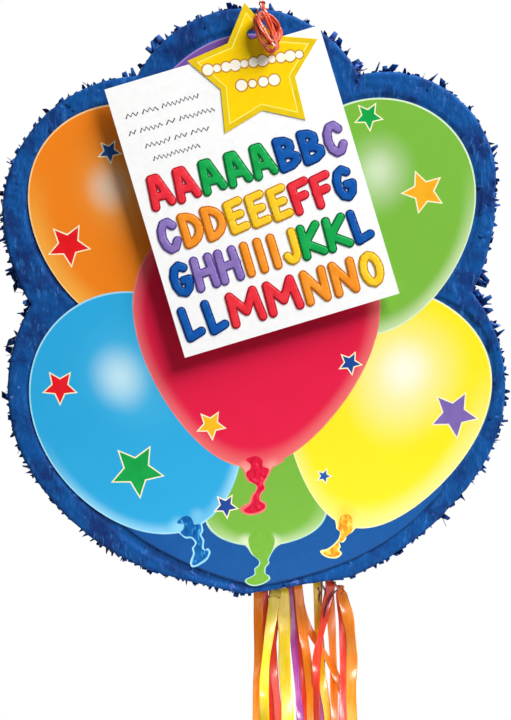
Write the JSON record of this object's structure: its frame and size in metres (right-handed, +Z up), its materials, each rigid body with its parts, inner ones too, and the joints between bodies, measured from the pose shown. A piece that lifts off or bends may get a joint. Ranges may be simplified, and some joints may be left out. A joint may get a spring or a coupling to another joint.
{
  "type": "pull-ribbon pinata",
  "caption": "Flat cardboard pinata cut to a balloon bouquet outline, in blue fringed tissue, with a printed face, hang tag, hanging cord and pull ribbons on a trap door.",
  "frame": {"origin": "top of the cord loop that the pinata hangs from, at mid-depth", "axes": "+Z up, the picture side faces -Y, +X to the right as one looks at the picture"},
  "size_m": [0.4571, 0.123, 0.9451],
  "materials": {
    "card": "matte",
    "blue_tissue": "matte",
    "printed_card": "satin",
    "white_sheet": "satin",
    "yellow_card": "satin",
    "cord_orange": "gloss",
    "clear_tape": "gloss",
    "ribbon_orange": "gloss",
    "ribbon_red": "gloss",
    "ribbon_yellow": "gloss",
    "ribbon_purple": "gloss",
    "sticker_red": "satin",
    "sticker_green": "satin",
    "sticker_blue": "satin",
    "sticker_purple": "satin",
    "sticker_orange": "satin",
    "sticker_yellow": "satin"
  },
  "bodies": {
    "shell": {"front_board": "card", "back_board": "card", "side_wall_top": "card", "side_wall_upper_left": "card", "side_wall_lower_left": "card", "side_wall_bottom_left": "card", "side_wall_door": "card", "side_wall_lower_right": "card", "side_wall_upper_right": "card", "front_tissue": "blue_tissue", "picture_panel": "printed_card", "side_fringe_row_1": "blue_tissue", "side_fringe_row_2": "blue_tissue", "side_fringe_row_3": "blue_tissue", "side_fringe_row_4": "blue_tissue", "back_fringe": "blue_tissue", "anchor_plate": "card", "hanger_loop": "cord_orange", "loop_knot": "cord_orange"},
    "flap": {"fill_flap": "card", "fill_flap_fringe": "blue_tissue"},
    "door": {"trap_door": "card", "trap_door_fringe": "blue_tissue"},
    "ribbons": {"ribbon_tape": "clear_tape", "pull_ribbon_01": "ribbon_orange", "pull_ribbon_02": "ribbon_red", "pull_ribbon_03": "ribbon_yellow", "pull_ribbon_04": "ribbon_red", "pull_ribbon_05": "ribbon_red", "pull_ribbon_06": "ribbon_yellow", "pull_ribbon_07": "ribbon_purple", "pull_ribbon_08": "ribbon_red", "pull_ribbon_09": "ribbon_orange", "pull_ribbon_10": "ribbon_orange", "pull_ribbon_11": "ribbon_purple", "pull_ribbon_12": "ribbon_red", "pull_ribbon_13": "ribbon_orange", "pull_ribbon_14": "ribbon_orange", "pull_ribbon_15": "ribbon_yellow", "pull_ribbon_16": "ribbon_purple", "ribbon_knot": "ribbon_purple"},
    "hank": {"lead_ring": "cord_orange", "hank_lead": "cord_orange", "lead_knot": "cord_orange", "hank_neck": "cord_orange", "hanging_hank": "cord_orange", "tag_tie": "cord_orange"},
    "tag": {"sticker_sheet": "white_sheet", "star_header": "yellow_card", "letter_stickers_red": "sticker_red", "letter_stickers_green": "sticker_green", "letter_stickers_blue": "sticker_blue", "letter_stickers_purple": "sticker_purple", "letter_stickers_orange": "sticker_orange", "letter_stickers_yellow": "sticker_yellow"}
  },
  "joints": [
    {"name": "flap_crease", "type": "hinge", "parent": "shell", "child": "flap", "pos_m": [-0.013, 0.046, -0.1475], "axis": [1, 0, 0], "range_deg": [0, 110]},
    {"name": "door_crease", "type": "hinge", "parent": "shell", "child": "door", "pos_m": [0.03119, 0.0305, -0.52307], "axis": [0.9869, 0, 0.1611], "range_deg": [0, 95]},
    {"name": "ribbon_sway", "type": "hinge", "parent": "door", "child": "ribbons", "pos_m": [0.03152, -0.025, -0.52504], "axis": [0.9869, 0, 0.1611], "range_deg": [-95, 0]},
    {"name": "hank_swing", "type": "hinge", "parent": "shell", "child": "hank", "pos_m": [0, 0, 0.001], "axis": [-1, 0, 0], "range_deg": [0, 70]},
    {"name": "tag_swing", "type": "hinge", "parent": "hank", "child": "tag", "pos_m": [-0.0097, -0.0605, -0.0264], "axis": [0, 1, 0], "range_deg": [-25, 25]}
  ],
  "couplings": [
    {"joint": "ribbon_sway", "follows": "door_crease", "ratio": -1}
  ]
}
